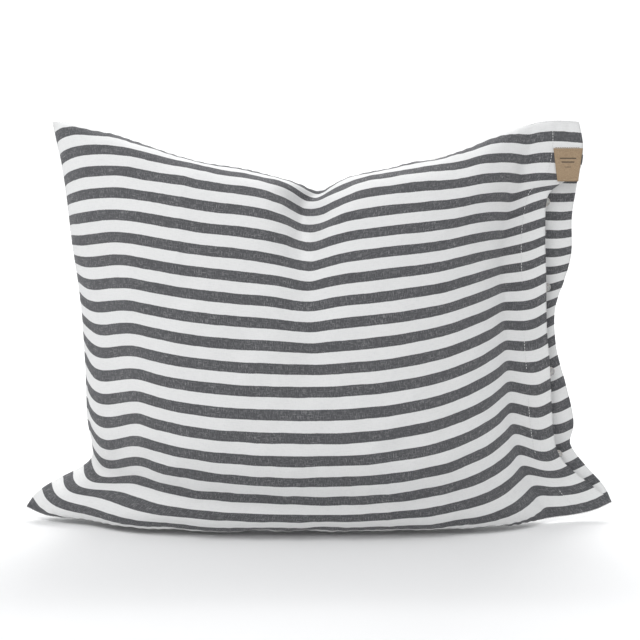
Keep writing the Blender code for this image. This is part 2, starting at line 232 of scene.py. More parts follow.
COLUMNS, ROWS = ((112, 80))
across = np.linspace(0.0, 1.0, COLUMNS + 1)
up = np.linspace(0.0, 1.0, ROWS + 1)
edges = {}
for name, points, shares in (("left", LEFT_EDGE, 1.0 - up), ("top", TOP_EDGE, across),
                             ("floor", FLOOR_EDGE, across), ("front", FRONT_HEM, 1.0 - up),
                             ("back", BACK_HEM, 1.0 - up)):
    edges[name], length = smooth_line(points, shares)
    print(f"{name} edge: {length * 1000:.0f} mm")

# %% [markdown]
# ## A first, rough pillow
# The cloth solver needs a starting shape that is roughly right. Upright slices of a full
# pillow look like a D: a steep face, a round shoulder that runs back to the top seam, and
# a tighter turn below. We give every slice that form and lay the rows of the cloth out
# evenly along it. The four edges then steer the slices (a Coons patch, the usual way to
# span a frame of four curves). A groove that runs forward from the top seam is the dent.

# %% Starting shape
FRONT_DEPTH, BACK_DEPTH = 0.083, 0.100
CUSHION_TO = 0.905
DEEPEST_AT = 0.42
FOOT = 2.35
GROOVE_TOP, GROOVE_LOW = 0.003, -0.020
GROOVE_HALF_WIDTH = 0.019
GROOVE_PULL = 0.66
GROOVE_FROM = 0.66
GROOVE_DROP = 0.006


def ease(low, high, x):
    t = np.clip((x - low) / (high - low), 0.0, 1.0)
    return t * t * (3.0 - 2.0 * t)


def slice_line(depth, height, shoulder, fine=160):
    """A D-shaped slice from the bottom seam round to the top seam: shares and length."""
    turn = np.linspace(0.0, 0.5 * math.pi, fine)
    low_z = DEEPEST_AT * (1.0 - np.cos(turn) ** (2 / FOOT))
    low_y = np.sin(turn) ** (2 / FOOT)
    high_z = DEEPEST_AT + (1.0 - DEEPEST_AT) * np.sin(turn) ** (2 / shoulder)
    high_y = np.cos(turn) ** (2 / shoulder)
    z, y = np.r_[low_z, high_z[1:]], np.r_[low_y, high_y[1:]]
    run = np.r_[0.0, np.cumsum(np.hypot(np.diff(z) * height, np.diff(y) * depth))]
    return z, y, run


def slice_form(depth, height):
    """Height and depth share of each row. The shoulder takes up just enough cloth."""
    least, most = 1.3, 3.2
    for _ in range(18):
        shoulder = 0.5 * (least + most)
        z, y, run = slice_line(depth, height, shoulder)
        if run[-1] > CASE_HEIGHT:
            most = shoulder
        else:
            least = shoulder
    spare = run[-1] - CASE_HEIGHT
    places = up * CASE_HEIGHT + spare * ease(0.35, 1.0, up)
    return np.interp(places, run, z), np.interp(places, run, y), shoulder


def softened(line, width):
    """The same line with its quick turns rounded away."""
    padded = np.pad(line, ((width, width), (0, 0)), mode="edge")
    kernel = np.ones(2 * width + 1) / (2 * width + 1)
    return np.stack([np.convolve(padded[:, k], kernel, "valid") for k in range(3)], axis=1)


def along_edge(name, shares, inner):
    """Points of a side edge. Inner columns follow its height, and ignore its quick turns."""
    line = edges[name]
    level = (line[:, 2] - line[0, 2]) / (line[-1, 2] - line[0, 2])
    at = shares + inner * (np.interp(shares, level, up) - shares)
    soft = softened(line, ROWS // 8)
    soft[:, 1:] = line[:, 1:]
    line = line + inner * (soft - line)
    return np.stack([np.interp(at, up, line[:, k]) for k in range(3)], axis=-1)


def start_panel(right, depth, side):
    """One panel of the rough pillow. side is -1 for the front panel and 1 for the back."""
    columns = []
    a = np.clip(across / CUSHION_TO, 0.0, 1.0)
    depths = depth * (1.0 - np.abs(2.0 * a - 1.0) ** 2.5) ** (0.62 + 0.10 * ease(0.6, 1.0, a))
    for column, (u, deep) in enumerate(zip(across, depths)):
        low, top = edges["floor"][column], edges["top"][column]
        h, d, shoulder = slice_form(deep, top[2] - low[2])
        h, d = h[:, None], d[:, None]
        inner = ease(0.02, 0.16, u) * (1.0 - ease(0.90, 1.0, u))
        ruled = ((1 - u) * along_edge("left", h[:, 0], inner)
                 + u * along_edge(right, h[:, 0], inner))
        corners = ((1 - u) * ((1 - h) * edges["floor"][0] + h * edges["top"][0])
                   + u * ((1 - h) * edges["floor"][-1] + h * edges["top"][-1]))
        points = ruled + (1 - h) * low + h * top - corners
        points[:, 1] += side * deep * d[:, 0]
        columns.append(points)
    points = np.array(columns)
    groove_x = GROOVE_LOW + (GROOVE_TOP - GROOVE_LOW) * ease(0.86, 1.0, up)[None, :]
    groove = np.exp(-np.abs((points[:, :, 0] - groove_x) / GROOVE_HALF_WIDTH) ** 1.7)
    if side < 0:
        reach = ease(GROOVE_FROM, 0.92, up)[None, :]
        seam_line = edges["top"][:, None, 1]
        points[:, :, 1] += GROOVE_PULL * groove * reach * (seam_line - points[:, :, 1])
        drop = ease(GROOVE_FROM, 0.90, up) * (1 - ease(0.92, 1.0, up))
        points[:, :, 2] -= GROOVE_DROP * groove * drop
    points[:, :, 1] += seam_y
    points[:, :, 2] = np.maximum(points[:, :, 2], 0.003)
    return points, groove


front_start, front_groove = start_panel("front", FRONT_DEPTH, -1.0)
back_start, _ = start_panel("back", BACK_DEPTH, 1.0)
print("rough depth:", round(float(back_start[:, :, 1].max() - front_start[:, :, 1].min()), 3))

# %% [markdown]
# ## Sewing the case
# Front and back share their points along the three sewn edges, just as a seam joins two
# cloths. The open end has its own points on each panel. The mesh gets a shape key that
# holds the flat pattern. Blender's Cloth reads its rest lengths from that key, so the
# cloth knows how big it was cut. Vertex groups say where the cloth is held and where the
# cushion fills it.


# %% One mesh of two panels
def number_panels():
    """Point numbers of both panels, indexed [column, row]; seams share theirs."""
    front = np.arange((COLUMNS + 1) * (ROWS + 1)).reshape(COLUMNS + 1, ROWS + 1)
    back = front.copy()
    free = np.zeros_like(front, dtype=bool)
    free[1:, 1:-1] = True
    back[free] = front.size + np.arange(free.sum())
    return front, back, free


def quads(ids, flip):
    a, b, c, d = ids[:-1, :-1], ids[1:, :-1], ids[1:, 1:], ids[:-1, 1:]
    order = (a, d, c, b) if flip else (a, b, c, d)
    return np.stack([part.ravel() for part in order], axis=1).tolist()


front_ids, back_ids, back_free = number_panels()
flat_u, flat_v = np.meshgrid(across * CASE_WIDTH, up * CASE_HEIGHT, indexing="ij")
flat_points = np.stack([flat_u, np.zeros_like(flat_u), flat_v], axis=2)
sewn_points = np.vstack([front_start.reshape(-1, 3), back_start[back_free]])
pattern_points = np.vstack([flat_points.reshape(-1, 3), flat_points[back_free]])

case_mesh = bpy.data.meshes.new("sewn_case")
case_mesh.from_pydata(sewn_points.tolist(), [], quads(front_ids, False) + quads(back_ids, True))
sewn_case = link(bpy.data.objects.new("sewn_case", case_mesh))
sewn_case.shape_key_add(name="filled")
pattern_key = sewn_case.shape_key_add(name="pattern")
pattern_key.data.foreach_set("co", pattern_points.ravel())
print("cloth points:", len(case_mesh.vertices))


# %% Where the cloth is held, and where it is filled
BODY_HOLD = 0.16


def paint_group(name, front_weights, back_weights):
    group = sewn_case.vertex_groups.new(name=name)
    for ids, weights in ((front_ids, front_weights), (back_ids, back_weights)):
        for point, weight in zip(ids.ravel().tolist(), weights.ravel().tolist()):
            if weight > 0.003:
                group.add([point], weight, "REPLACE")


held = np.full((COLUMNS + 1, ROWS + 1), BODY_HOLD)
held[0, :] = held[:, 0] = held[:, -1] = 1.0
hem_band = ease(1.0 - HEM_WIDTH / CASE_WIDTH - 0.01, 1.0 - 0.3 * HEM_WIDTH / CASE_WIDTH, across)
front_held = np.maximum(held, 0.55 * ease(0.985, 1.0, across)[:, None])
front_held = np.maximum(front_held, 0.7 * (front_groove ** 6) * ease(0.84, 0.92, up)[None, :])
back_held = np.maximum(held, 0.8 * hem_band[:, None])
paint_group("held", front_held, back_held)

fill_across = ease(0.02, 0.06, across) * (1.0 - ease(0.86, 0.92, across))
fill_up = ease(0.0, 0.03, up) * (1.0 - ease(0.97, 1.0, up))
filled = fill_across[:, None] * fill_up[None, :]
paint_group("filled", filled, filled)
print("held points:", int((front_held > 0.5).sum() + (back_held > 0.5).sum()))

# %% [markdown]
# ## Letting the cloth settle
# Pressure inside stands for the cushion. The floor is a collider, so the underside is
# pressed flat. Linen hardly stretches but folds easily, so tension is high and bending is
# low. After the last frame we read the settled points and drop the solver.

# %% Cloth simulation
CLOTH_FRAMES = 45
CLOTH_PRESSURE = 14.0


def settle_cloth():
    collider_mesh = bpy.data.meshes.new("cloth_floor")
    collider_mesh.from_pydata([(-1, -1, 0), (1, -1, 0), (1, 1, 0), (-1, 1, 0)], [], [(0, 1, 2, 3)])
    collider = link(bpy.data.objects.new("cloth_floor", collider_mesh))
    collider.modifiers.new("collide", "COLLISION")
    collider.collision.thickness_outer = 0.002
    collider.collision.cloth_friction = 30.0
    cloth = sewn_case.modifiers.new("cloth", "CLOTH")
    settings = cloth.settings
    settings.quality = 8
    settings.mass = 0.15
    settings.tension_stiffness = 140.0
    settings.compression_stiffness = 60.0
    settings.shear_stiffness = 8.0
    settings.bending_stiffness = 0.25
    settings.tension_damping = settings.compression_damping = settings.shear_damping = 8.0
    settings.bending_damping = 1.0
    settings.air_damping = 2.0
    settings.effector_weights.gravity = 0.05
    settings.use_pressure = True
    settings.uniform_pressure_force = CLOTH_PRESSURE
    settings.vertex_group_pressure = "filled"
    settings.vertex_group_mass = "held"
    settings.pin_stiffness = 20.0
    settings.rest_shape_key = pattern_key
    cloth.collision_settings.distance_min = 0.002
    cloth.collision_settings.use_self_collision = False
    cloth.point_cache.frame_start = 1
    cloth.point_cache.frame_end = CLOTH_FRAMES
    for step in range(1, CLOTH_FRAMES + 1):
        bpy.context.scene.frame_set(step)
    graph = bpy.context.evaluated_depsgraph_get()
    settled = sewn_case.evaluated_get(graph).to_mesh()
    points = np.empty(len(settled.vertices) * 3)
    settled.vertices.foreach_get("co", points)
    bpy.data.objects.remove(collider, do_unlink=True)
    bpy.context.scene.frame_set(1)
    return points.reshape(-1, 3)


settled_points = settle_cloth()
bpy.data.objects.remove(sewn_case, do_unlink=True)
front_grid = settled_points[front_ids]
back_grid = settled_points[back_ids]
for name, grid in (("front", front_grid), ("back", back_grid)):
    low, high = grid.reshape(-1, 3).min(0), grid.reshape(-1, 3).max(0)
    print(name, "settled from", low.round(3), "to", high.round(3))

# %% [markdown]
# ## Hems in their place
# Two spots need care after the settling. The back hem must lie flat just behind the
# buttons, and the front hem must lie flat just behind the label. We ease those few
# points to the depth that the plain model's buttons and label ask for. Then we part the
# two panels wherever they lie closer than the thickness of their hems.

# %% Hems eased to the buttons and the label
BUTTONS = ("button_1", "button_2", "button_3", "button_4")
HEM_THICK = 2.5 * CLOTH
PANEL_GAP, HEM_EXTRA_GAP = 0.0030, 0.0034
button_foot = max(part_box(name + "_thread")[1][1] for name in BUTTONS)
label_low, label_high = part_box("label")
label_middle = 0.5 * (Vector(label_low) + Vector(label_high))
HEM_BEHIND_BUTTONS = button_foot + 0.0004 + HEM_THICK
CLOTH_BEHIND_LABEL = label_high[1] + 0.0005

flat_hem = ease(1.0 - 1.25 * HEM_WIDTH / CASE_WIDTH, 1.0 - 0.95 * HEM_WIDTH / CASE_WIDTH, across)
hem_rows = ease(0.03, 0.12, up) * (1.0 - ease(0.90, 0.985, up))
share = flat_hem[:, None] * hem_rows[None, :]
back_grid[:, :, 1] += share * (HEM_BEHIND_BUTTONS - back_grid[:, :, 1])
reach_x = np.abs(front_grid[:, :, 0] - label_middle[0]) - 0.5 * (label_high[0] - label_low[0])
reach_z = np.abs(front_grid[:, :, 2] - label_middle[2]) - 0.5 * (label_high[2] - label_low[2])
reach = np.maximum(np.maximum(reach_x, reach_z), 0.0)
share = 1.0 - ease(0.002, 0.034, reach)
front_grid[:, :, 1] += share * (CLOTH_BEHIND_LABEL - front_grid[:, :, 1])

panel_gap = PANEL_GAP + HEM_EXTRA_GAP * ease(0.90, 0.95, across)[:, None]
panel_gap = panel_gap * ease(0.0, 0.05, across)[:, None]
panel_gap = panel_gap * (ease(0.0, 0.05, up) * (1.0 - ease(0.97, 1.0, up)))
short = np.maximum(panel_gap - (back_grid[:, :, 1] - front_grid[:, :, 1]), 0.0)
front_grid[:, :, 1] -= 0.5 * short
back_grid[:, :, 1] += 0.5 * short
print("hem behind buttons at", round(HEM_BEHIND_BUTTONS, 4), "label cloth at", round(CLOTH_BEHIND_LABEL, 4))

# %% [markdown]
# ## Panels with thickness, puckers and creases
# Each panel carries a cloth map: metres across and up the flat pattern. The stripes and
# the weave follow that map, so they bend with the cloth. We refine each panel once. Then
# we push the fine points in and out a little: sewn edges pucker with the stitch, and
# washed linen is never quite smooth. The back panel is made first, so that the front one
# can be kept in front of it at the flat corner. Last comes the thickness, more at the hem.


# %% Small waves of washed linen
def crumple(u, v, seed, shortest, longest, count=36):
    """Smooth random waves over the flat pattern, about one unit high."""
    random = np.random.default_rng(seed)
    total = np.zeros_like(u)
    for _ in range(count):
        wave = 2.0 * math.pi / random.uniform(shortest, longest)
        turn, phase = random.uniform(0.0, math.pi), random.uniform(0.0, 2.0 * math.pi)
        total += np.sin(wave * (u * math.cos(turn) + v * math.sin(turn)) + phase)
    return total / math.sqrt(0.5 * count)


def pucker(away, along, pitch, reach):
    """Gathers that start at a line of stitching and die away from it."""
    wave = np.sin(2 * math.pi * along / pitch + 1.4 * np.sin(2 * math.pi * along / (6.3 * pitch)))
    return wave * np.exp(-away / reach) * (1.0 - np.exp(-away / 0.003))


def small_forms(u, v, seed):
    """How far each point stands out of the smooth cloth, in metres."""
    hem_line = CASE_WIDTH - HEM_WIDTH
    wide = crumple(u, v, seed, 0.030, 0.110)
    fine = crumple(u, v, seed + 1, 0.010, 0.028)
    out = 0.0007 * wide + 0.00013 * fine
    out += 0.0011 * pucker(u, v, 0.0125, 0.014)
    out += 0.0009 * pucker(CASE_HEIGHT - v, u, 0.0140, 0.012)
    out += 0.0011 * pucker(v, u, 0.0135, 0.014)
    out += 0.0006 * pucker(np.abs(u - hem_line), v + 0.2 * u, 0.0090, 0.007)
    out += 0.0004 * ease(hem_line - 0.001, hem_line + 0.001, u)
    return out * ease(0.0, 0.004, np.minimum(np.minimum(u, v), CASE_HEIGHT - v))


def pressed_crease(u, v, u_at, v_from, v_to, height):
    ridge = np.exp(-np.abs(u - u_at - 0.06 * (v - v_from)) / 0.005)
    return height * ridge * ease(v_from, v_from + 0.04, v) * (1.0 - ease(v_to - 0.04, v_to, v))


# %% Make the two panels
def panel_mesh(name, grid, flip):
    ids = np.arange(grid.shape[0] * grid.shape[1]).reshape(grid.shape[:2])
    mesh = bpy.data.meshes.new(name)
    mesh.from_pydata(grid.reshape(-1, 3).tolist(), [], quads(ids, flip))
    uv = mesh.uv_layers.new(name="cloth")
    corner_points = np.empty(len(mesh.loops), dtype=np.int32)
    mesh.loops.foreach_get("vertex_index", corner_points)
    flat = np.stack([flat_u.ravel(), flat_v.ravel()], axis=1)[corner_points]
    uv.data.foreach_set("uv", flat.ravel())
    mesh.shade_smooth()
    return link(bpy.data.objects.new(name, mesh))


def apply_modifiers(thing):
    graph = bpy.context.evaluated_depsgraph_get()
    mesh = bpy.data.meshes.new_from_object(thing.evaluated_get(graph))
    thing.modifiers.clear()
    old, thing.data = thing.data, mesh
    bpy.data.meshes.remove(old)
    mesh.name = thing.name


def read_points(mesh):
    points = np.empty(len(mesh.vertices) * 3)
    mesh.vertices.foreach_get("co", points)
    return points.reshape(-1, 3)


def cloth_map(mesh):
    """The place of every vertex on the flat pattern, in metres."""
    corner_points = np.empty(len(mesh.loops), dtype=np.int32)
    mesh.loops.foreach_get("vertex_index", corner_points)
    flat = np.empty(len(mesh.loops) * 2)
    mesh.uv_layers["cloth"].data.foreach_get("uv", flat)
    places = np.zeros((len(mesh.vertices), 2))
    places[corner_points] = flat.reshape(-1, 2)
    return places[:, 0], places[:, 1]


def surface_of(thing):
    return BVHTree.FromObject(thing, bpy.context.evaluated_depsgraph_get())


def kept_in_front(points, v, back_surface):
    """Moves lower cloth forward where the panel behind would come through it."""
    for i in np.flatnonzero((v > 0.001) & (v < 0.5 * CASE_HEIGHT)).tolist():
        start = Vector((points[i, 0], -1.0, points[i, 2]))
        met = back_surface.ray_cast(start, Vector((0.0, 1.0, 0.0)))[0]
        if met is not None:
            room = (HEM_THICK + 0.0003) * float(ease(0.0, 0.010, v[i]))
            points[i, 1] = min(points[i, 1], met.y - room)


def make_panel(name, grid, flip, seed, back_surface=None):
    panel = panel_mesh(name, grid, flip)
    smooth = panel.modifiers.new("smooth", "SUBSURF")
    smooth.levels = smooth.render_levels = 1
    smooth.boundary_smooth = "PRESERVE_CORNERS"
    smooth.uv_smooth = "NONE"
    apply_modifiers(panel)
    mesh = panel.data
    u, v = cloth_map(mesh)
    normals = np.empty(len(mesh.vertices) * 3)
    mesh.vertices.foreach_get("normal", normals)
    out = small_forms(u, v, seed)
    if not flip:
        out += pressed_crease(u, v, 0.172, 0.30, 0.47, 0.0014)
        out += pressed_crease(u, v, 0.430, 0.02, 0.14, 0.0008)
    points = read_points(mesh) + out[:, None] * normals.reshape(-1, 3)
    points[:, 2] = np.maximum(points[:, 2], 0.0012)
    if not flip:
        near = np.maximum(np.abs(points[:, 0] - label_middle[0]) - 0.5 * (label_high[0] - label_low[0]),
                          np.abs(points[:, 2] - label_middle[2]) - 0.5 * (label_high[2] - label_low[2]))
        behind = np.maximum(points[:, 1], CLOTH_BEHIND_LABEL)
        points[:, 1] += (1.0 - ease(0.003, 0.007, near)) * (behind - points[:, 1])
        kept_in_front(points, v, back_surface)
    else:
        for button in BUTTONS:
            low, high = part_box(button)
            away = np.hypot(points[:, 0] - 0.5 * (low[0] + high[0]), points[:, 2] - 0.5 * (low[2] + high[2]))
            behind = np.maximum(points[:, 1], HEM_BEHIND_BUTTONS)
            points[:, 1] += (1.0 - ease(0.006, 0.012, away)) * (behind - points[:, 1])
    mesh.vertices.foreach_set("co", points.ravel())
    doubled = panel.vertex_groups.new(name="doubled")
    hem = np.flatnonzero(u >= CASE_WIDTH - HEM_WIDTH)
    single = CLOTH / HEM_THICK
    doubled.add(np.flatnonzero(u < CASE_WIDTH - HEM_WIDTH).tolist(), single, "REPLACE")
    for point in hem.tolist():
        from_seam = min(v[point], CASE_HEIGHT - v[point])
        doubled.add([point], single + 0.76 * float(ease(0.002, 0.020, from_seam)), "REPLACE")
    thickness = panel.modifiers.new("thickness", "SOLIDIFY")
    thickness.thickness = HEM_THICK
    thickness.offset = -1.0
    thickness.vertex_group = "doubled"
    apply_modifiers(panel)
    panel.data.shade_smooth()
    return panel


linen_back = make_panel("linen_back_cloth", back_grid, True, 8)
linen_front = make_panel("linen_front_cloth", front_grid, False, 3, surface_of(linen_back))
for panel, node in ((linen_front, "linen_front"), (linen_back, "linen_back")):
    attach(panel, "pillow")
    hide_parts(node)
    print(panel.name, "faces:", len(panel.data.polygons))

# %% [markdown]
# ## The linen finish
# The cloth is woven, not printed: dark and white bands of weft in one plain weave. The
# finish works in metres on the cloth map. A band of each repeat is dark. Stretched noise
# makes slubs, the thick spots of linen yarn, along both thread directions, and a fine
# grid of bumps gives the weave. The edge yarns of each dark band are a shade darker.


# %% Node helper
class Graph:
    """Short names for making shader nodes."""

    def __init__(self, name):
        self.material = bpy.data.materials.new(name)
        self.material.use_nodes = True
        self.tree = self.material.node_tree
        self.shader = self.tree.nodes["Principled BSDF"]

    def feed(self, socket, value):
        if isinstance(value, bpy.types.NodeSocket):
            self.tree.links.new(value, socket)
        else:
            socket.default_value = value

    def math(self, operation, first, second=0.0, third=0.0):
        node = self.tree.nodes.new("ShaderNodeMath")
        node.operation = operation
        for socket, value in zip(node.inputs, (first, second, third)):
            self.feed(socket, value)
        return node.outputs[0]

    def step(self, value, low, high):
        node = self.tree.nodes.new("ShaderNodeMapRange")
        node.interpolation_type = "SMOOTHSTEP"
        for socket, number in zip(node.inputs, (value, low, high, 0.0, 1.0)):
            self.feed(socket, number)
        return node.outputs[0]

    def join(self, x, y, z=0.0):
        node = self.tree.nodes.new("ShaderNodeCombineXYZ")
        for socket, value in zip(node.inputs, (x, y, z)):
            self.feed(socket, value)
        return node.outputs[0]

    def noise(self, vector, scale, detail=2.0, roughness=0.5):
        node = self.tree.nodes.new("ShaderNodeTexNoise")
        self.feed(node.inputs["Vector"], vector)
        node.inputs["Scale"].default_value = scale
        node.inputs["Detail"].default_value = detail
        node.inputs["Roughness"].default_value = roughness
        return node.outputs[0]

    def mix(self, share, first, second):
        node = self.tree.nodes.new("ShaderNodeMix")
        node.data_type = "RGBA"
        for index, value in ((0, share), (6, first), (7, second)):
            if isinstance(value, tuple):
                value = (*value, 1.0)
            self.feed(node.inputs[index], value)
        return node.outputs[2]

    def flat_place(self, map_name):
        node = self.tree.nodes.new("ShaderNodeUVMap")
        node.uv_map = map_name
        split = self.tree.nodes.new("ShaderNodeSeparateXYZ")
        self.tree.links.new(node.outputs[0], split.inputs[0])
        return split.outputs["X"], split.outputs["Y"]

    def object_place(self):
        return self.tree.nodes.new("ShaderNodeTexCoord").outputs["Object"]

    def bump(self, height, distance, strength=1.0):
        node = self.tree.nodes.new("ShaderNodeBump")
        node.inputs["Distance"].default_value = distance
        node.inputs["Strength"].default_value = strength
        self.feed(node.inputs["Height"], height)
        self.feed(self.shader.inputs["Normal"], node.outputs[0])

    def set(self, **values):
        for name, value in values.items():
            self.feed(self.shader.inputs[name.replace("_", " ")], value)


# %% Striped linen
FIRST_DARK = 0.0185
DARK_YARN, DARK_SLUB = (0.088, 0.089, 0.095), (0.34, 0.34, 0.345)
WHITE_YARN, WHITE_SHADE = (0.83, 0.83, 0.825), (0.66, 0.665, 0.67)
YARN_PITCH = 0.0010


def striped_linen():
    g = Graph("striped_linen")
    u, v = g.flat_place("cloth")
    place = g.join(u, v)
    wobble = g.math("MULTIPLY_ADD", g.noise(place, 22.0, 3.0), 0.0022, -0.0011)
    from_top = g.math("SUBTRACT", CASE_HEIGHT - FIRST_DARK, g.math("ADD", v, wobble))
    turns = g.math("MULTIPLY_ADD", from_top, 1.0 / STRIPE_REPEAT, 40.5)
    off_middle = g.math("ABSOLUTE", g.math("SUBTRACT", g.math("FRACT", turns), 0.5))
    fray = g.noise(g.join(g.math("MULTIPLY", u, 900.0), v), 1.0)
    frayed = g.math("MULTIPLY_ADD", fray, 0.03, off_middle)
    half = 0.5 * DARK_SHARE + 0.015
    dark = g.math("SUBTRACT", 1.0, g.step(frayed, half - 0.014, half + 0.014))
    border = g.math("MULTIPLY", g.step(frayed, half - 0.06, half - 0.03), dark)
    along_place = g.join(g.math("MULTIPLY", u, 130.0), g.math("MULTIPLY", v, 900.0))
    along = g.noise(along_place, 1.0, 3.0, 0.6)
    upright_place = g.join(g.math("MULTIPLY", u, 1000.0), g.math("MULTIPLY", v, 170.0), 4.0)
    upright = g.noise(upright_place, 1.0, 3.0, 0.6)
    slubs = g.math("MAXIMUM", g.step(along, 0.50, 0.78), g.step(upright, 0.48, 0.76))
    patches = g.step(g.noise(place, 34.0, 4.0, 0.6), 0.30, 0.75)
    slubs = g.math("MULTIPLY", slubs, g.math("MULTIPLY_ADD", patches, 0.55, 0.45))
    slubs = g.math("MULTIPLY", slubs, g.math("MULTIPLY_ADD", border, -0.75, 1.0))
    dark_colour = g.mix(slubs, DARK_YARN, DARK_SLUB)
    soft = g.math("MULTIPLY", g.step(along, 0.42, 0.75), 0.30)
    soft = g.math("MULTIPLY_ADD", g.step(upright, 0.42, 0.75), 0.22, soft)
    white_colour = g.mix(soft, WHITE_YARN, WHITE_SHADE)
    warp = g.math("SINE", g.math("MULTIPLY", u, 2.0 * math.pi / YARN_PITCH))
    weft = g.math("SINE", g.math("MULTIPLY", v, 2.0 * math.pi / YARN_PITCH))
    height = g.math("MULTIPLY_ADD", g.math("MULTIPLY", warp, weft), 0.25, g.math("MULTIPLY", along, 0.8))
    height = g.math("MULTIPLY_ADD", upright, 0.8, height)
    g.bump(height, 0.0004, 0.7)
    g.set(Base_Color=g.mix(dark, white_colour, dark_colour), Roughness=0.9,
          Sheen_Weight=0.12, Sheen_Roughness=0.6, Specular_IOR_Level=0.2)
    return g.material


linen = striped_linen()
for panel in (linen_front, linen_back):
    panel.data.materials.clear()
    panel.data.materials.append(linen)

# %% [markdown]
# ## Thread
# Sewing thread is a fine twisted cord that dives in and out of the cloth. We draw every
# stitch by itself: a short bead that stands proud in its middle and sinks at both ends.
# The stitches find the cloth by looking up the nearest spot of the finished panel.

# %% Stitch maker
def grid_line(grid, u_from, v_from, u_to, v_to, count):
    """Points along a straight line of the flat pattern, taken from the settled grid."""
    found = []
    for t in np.linspace(0.0, 1.0, count):
        column = (u_from + t * (u_to - u_from)) / CASE_WIDTH * COLUMNS
        row = (v_from + t * (v_to - v_from)) / CASE_HEIGHT * ROWS
        c, r = min(int(column), COLUMNS - 1), min(int(row), ROWS - 1)
        a, b = column - c, row - r
        found.append((1 - a) * (1 - b) * grid[c, r] + a * (1 - b) * grid[c + 1, r]
                     + (1 - a) * b * grid[c, r + 1] + a * b * grid[c + 1, r + 1])
    return np.array(found)


def on_cloth(points, surface):
    """The nearest spots of the cloth and the way out of it there."""
    spots, ways = [], []
    for point in points:
        spot, way, _, _ = surface.find_nearest(Vector(point))
        spots.append(spot)
        ways.append(way)
    return spots, ways


def add_stitch(bm, start, end, out, radius, rings=5, sides=6):
    along = (end - start).normalized()
    side = along.cross(out).normalized()
    loops = []
    for ring in range(rings):
        t = ring / (rings - 1)
        swell = math.sin(math.pi * (0.12 + 0.76 * t))
        centre = start.lerp(end, t) + out * radius * (1.3 * swell - 0.5)
        size = radius * (0.55 + 0.45 * swell)
        loops.append([bm.verts.new(centre + size * (math.cos(a) * side + math.sin(a) * out))
                      for a in np.linspace(0.0, 2.0 * math.pi, sides, endpoint=False)])
    for low, high in zip(loops, loops[1:]):
        for i in range(sides):
            bm.faces.new((low[i], low[(i + 1) % sides], high[(i + 1) % sides], high[i]))
    bm.faces.new(loops[0][::-1])
    bm.faces.new(loops[-1])


def sew(bm, points, surface, pitch, share, radius):
    """Stitches of equal pitch along a line of points."""
    run = np.r_[0.0, np.cumsum(np.linalg.norm(np.diff(points, axis=0), axis=1))]
    count = int(run[-1] / pitch)
    starts = (np.arange(count) + 0.5 * (1.0 - share)) * pitch
    ends = starts + share * pitch
    both = [np.column_stack([np.interp(at, run, points[:, k]) for k in range(3)])
            for at in (starts, ends)]
    start_spots, start_ways = on_cloth(both[0], surface)
    end_spots, end_ways = on_cloth(both[1], surface)
    for a, b, way_a, way_b in zip(start_spots, end_spots, start_ways, end_ways):
        if (b - a).length > 0.2 * pitch:
            add_stitch(bm, a, b, (way_a + way_b).normalized(), radius)
    return count


def finished(bm, name, body, slot, material, *nodes):
    bmesh.ops.recalc_face_normals(bm, faces=bm.faces)
    mesh = bpy.data.meshes.new(name)
    bm.to_mesh(mesh)
    bm.free()
    mesh.shade_smooth()
    mesh.materials.append(material)
    made = link(bpy.data.objects.new(name, mesh))
    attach(made, body)
    if nodes:
        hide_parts(*nodes)
    return made


# %% Thread finish
def twisted_thread(name, colour, shade):
    g = Graph(name)
    strands = g.noise(g.object_place(), 2600.0, 2.0)
    g.bump(strands, 0.0001, 0.6)
    g.set(Base_Color=g.mix(g.step(strands, 0.35, 0.7), shade, colour), Roughness=0.65,
          Sheen_Weight=0.2, Specular_IOR_Level=0.35)
    return g.material


white_thread = twisted_thread("white_thread", (0.86, 0.86, 0.85), (0.62, 0.62, 0.62))
grey_thread = twisted_thread("grey_thread", (0.62, 0.62, 0.62), (0.40, 0.40, 0.41))
tan_thread = twisted_thread("tan_thread", (0.46, 0.33, 0.21), (0.28, 0.20, 0.12))

# %% [markdown]
# ## Seams and hems
# Three edges are sewn. The seam shows from outside as a fine row of stitches deep in the
# joint. Each panel's open edge is turned in and sewn down in one long row, and a short
# dense bar of stitches at the top stops the opening from tearing.

# %% Seam stitches on three edges
front_surface, back_surface = surface_of(linen_front), surface_of(linen_back)
STITCH_PITCH = 0.0034

bm = bmesh.new()
seam_runs = (front_grid[0, ::-1], front_grid[:, 0], front_grid[:, -1])
count = sum(sew(bm, run, front_surface, STITCH_PITCH, 0.62, 0.00030) for run in seam_runs)
finished(bm, "seam_stitches", "pillow", "thread", white_thread, "case_seam_thread")
print("seam stitches:", count)

# %% Hem stitches
HEM_LINE = CASE_WIDTH - HEM_WIDTH + 0.0015
BAR_FROM, BAR_UP = 0.634, 0.4805
BAR_STITCHES, BAR_STEP, BAR_HALF = 11, 0.0007, 0.0008
for name, grid, surface in (("front_hem", front_grid, front_surface),
                            ("back_hem", back_grid, back_surface)):
    bm = bmesh.new()
    line = grid_line(grid, HEM_LINE, 0.006, HEM_LINE, CASE_HEIGHT - 0.005, 240)
    count = sew(bm, line, surface, STITCH_PITCH, 0.68, 0.00032)
    if name == "front_hem":
        for k in range(BAR_STITCHES):
            at = BAR_FROM + BAR_STEP * k
            bar = grid_line(grid, at, BAR_UP - BAR_HALF, at, BAR_UP + BAR_HALF, 2)
            spots, ways = on_cloth(bar, surface)
            add_stitch(bm, spots[0], spots[1], ways[0], 0.00045)
    finished(bm, name + "_stitches", "pillow", "thread", white_thread, name + "_thread")
    print(name, "stitches:", count)

# %% [markdown]
# ## The cushion inside
# A standard filled cushion carries the case: a cotton ticking in two halves, a piping
# cord where they join, and a fibre filling. It is hardly seen, so we take its form from
# the settled case: every point is drawn back from the linen towards the middle.

